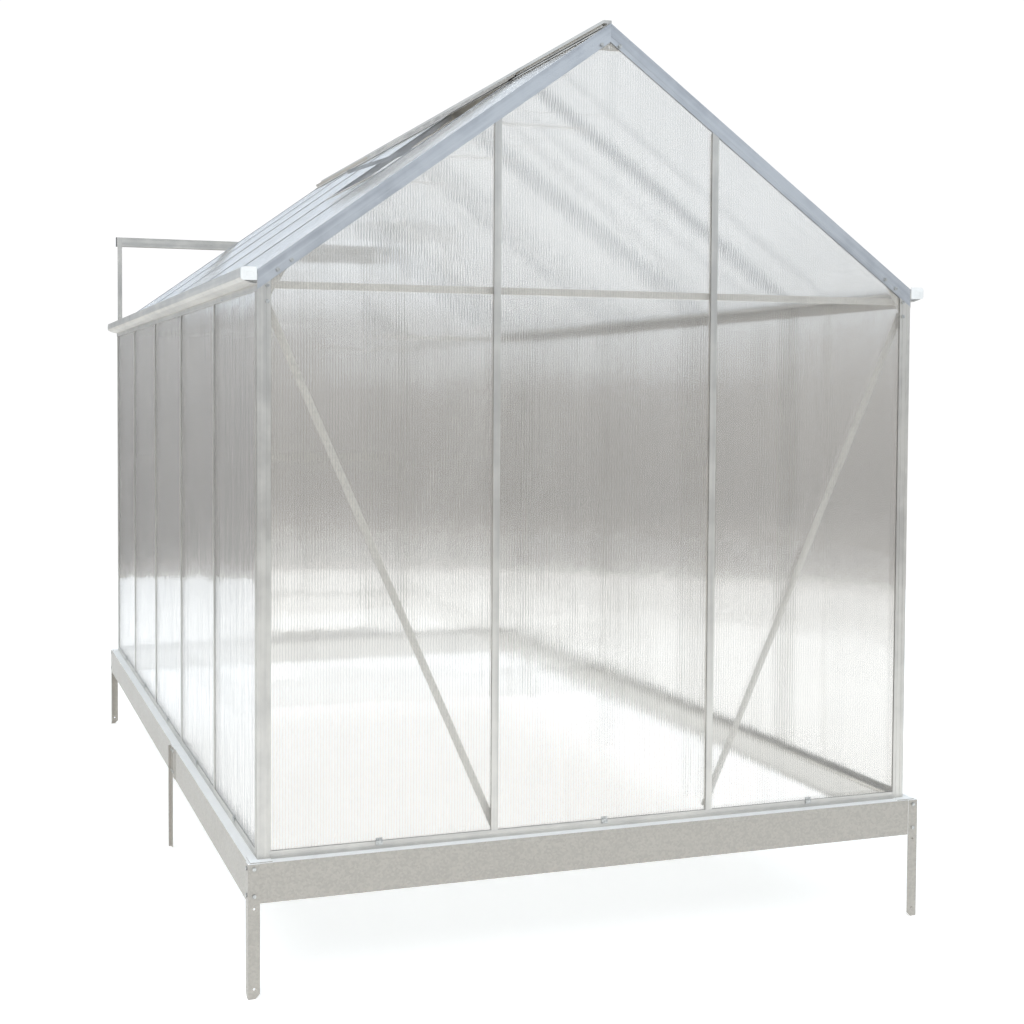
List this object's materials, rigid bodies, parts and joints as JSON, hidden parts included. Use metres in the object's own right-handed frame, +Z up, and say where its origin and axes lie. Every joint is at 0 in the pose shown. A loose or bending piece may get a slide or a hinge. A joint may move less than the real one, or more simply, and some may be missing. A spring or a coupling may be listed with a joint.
{
  "type": "polycarbonate greenhouse",
  "caption": "Walk-in greenhouse with an aluminium frame, twin-wall sheets, a galvanised base on ground stakes, a sliding door and a roof vent",
  "frame": {"origin": "on the ground under the middle of the outline, at the level of the stake tips", "axes": "+Z up, +Y from the closed back gable to the door gable along the length, -X across the house to its vented roof slope"},
  "size_m": [1.984, 3.1844, 2.4986],
  "materials": {
    "aluminium": "mill-finish extruded",
    "galvanised_steel": "galvanised, faint spangle",
    "zinc_fasteners": "zinc plated",
    "twin_wall_sheet": "translucent twin-wall polycarbonate with upright flutes",
    "white_plastic": "moulded",
    "black_plastic": "moulded"
  },
  "bodies": {
    "house": {"back_left_post": "aluminium", "back_left_rafter": "aluminium", "back_left_sheet": "twin_wall_sheet", "back_middle_sheet": "twin_wall_sheet", "back_rail": "galvanised_steel", "back_right_post": "aluminium", "back_right_rafter": "aluminium", "back_right_sheet": "twin_wall_sheet", "back_sill": "aluminium", "back_studs": "aluminium", "base_bolts": "zinc_fasteners", "base_plates": "galvanised_steel", "crossbars": "galvanised_steel", "door_guide": "aluminium", "door_header": "aluminium", "door_jambs": "aluminium", "door_left_post": "aluminium", "door_left_rafter": "aluminium", "door_rail": "galvanised_steel", "door_right_post": "aluminium", "door_right_rafter": "aluminium", "door_side_sheets": "twin_wall_sheet", "door_sill": "aluminium", "door_track": "aluminium", "frame_bolts": "zinc_fasteners", "gable_braces": "galvanised_steel", "gussets": "galvanised_steel", "gutter_end_caps": "white_plastic", "left_gutter": "aluminium", "left_rails": "galvanised_steel", "left_roof_bars": "aluminium", "left_roof_sheets": "twin_wall_sheet", "left_sill": "aluminium", "left_studs": "aluminium", "left_wall_sheets": "twin_wall_sheet", "over_door_sheet": "twin_wall_sheet", "ridge_beam": "aluminium", "right_gutter": "aluminium", "right_rails": "galvanised_steel", "right_roof_bars": "aluminium", "right_roof_sheets": "twin_wall_sheet", "right_sill": "aluminium", "right_studs": "aluminium", "right_wall_sheets": "twin_wall_sheet", "roof_ties": "galvanised_steel", "sheet_clips": "zinc_fasteners", "stakes": "galvanised_steel", "track_end_caps": "black_plastic", "track_supports": "galvanised_steel", "vent_sill": "aluminium"},
    "door": {"door_stiles": "aluminium", "door_rails": "aluminium", "door_sheets": "twin_wall_sheet", "door_handle": "black_plastic", "door_hangers": "galvanised_steel"},
    "left_roller_wheel": {"left_roller": "black_plastic"},
    "right_roller_wheel": {"right_roller": "black_plastic"},
    "vent": {"vent_frame": "aluminium", "vent_sheet": "twin_wall_sheet"},
    "stay": {"vent_stay": "aluminium"}
  },
  "joints": [
    {"name": "door_slide", "type": "slide", "parent": "house", "child": "door", "axis": [-1, 0, 0], "range_m": [0, 0.61]},
    {"name": "left_roller_spin", "type": "hinge", "parent": "door", "child": "left_roller_wheel", "pos_m": [-0.26, 1.56525, 2.1833], "axis": [0, -1, 0], "range_deg": [0, 2915]},
    {"name": "right_roller_spin", "type": "hinge", "parent": "door", "child": "right_roller_wheel", "pos_m": [0.26, 1.56525, 2.1833], "axis": [0, -1, 0], "range_deg": [0, 2915]},
    {"name": "vent_hinge", "type": "hinge", "parent": "house", "child": "vent", "pos_m": [-0.019, -0.62975, 2.48063], "axis": [0, 1, 0], "range_deg": [-5, 30]},
    {"name": "stay_pivot", "type": "hinge", "parent": "vent", "child": "stay", "pos_m": [-0.46233, -0.62975, 2.20672], "axis": [0, 1, 0], "range_deg": [-10.2, 61]}
  ],
  "couplings": [
    {"joint": "left_roller_spin", "follows": "door_slide", "rad_per_m": 83.333},
    {"joint": "right_roller_spin", "follows": "door_slide", "rad_per_m": 83.333},
    {"joint": "stay_pivot", "follows": "vent_hinge", "ratio": 2.0249}
  ]
}
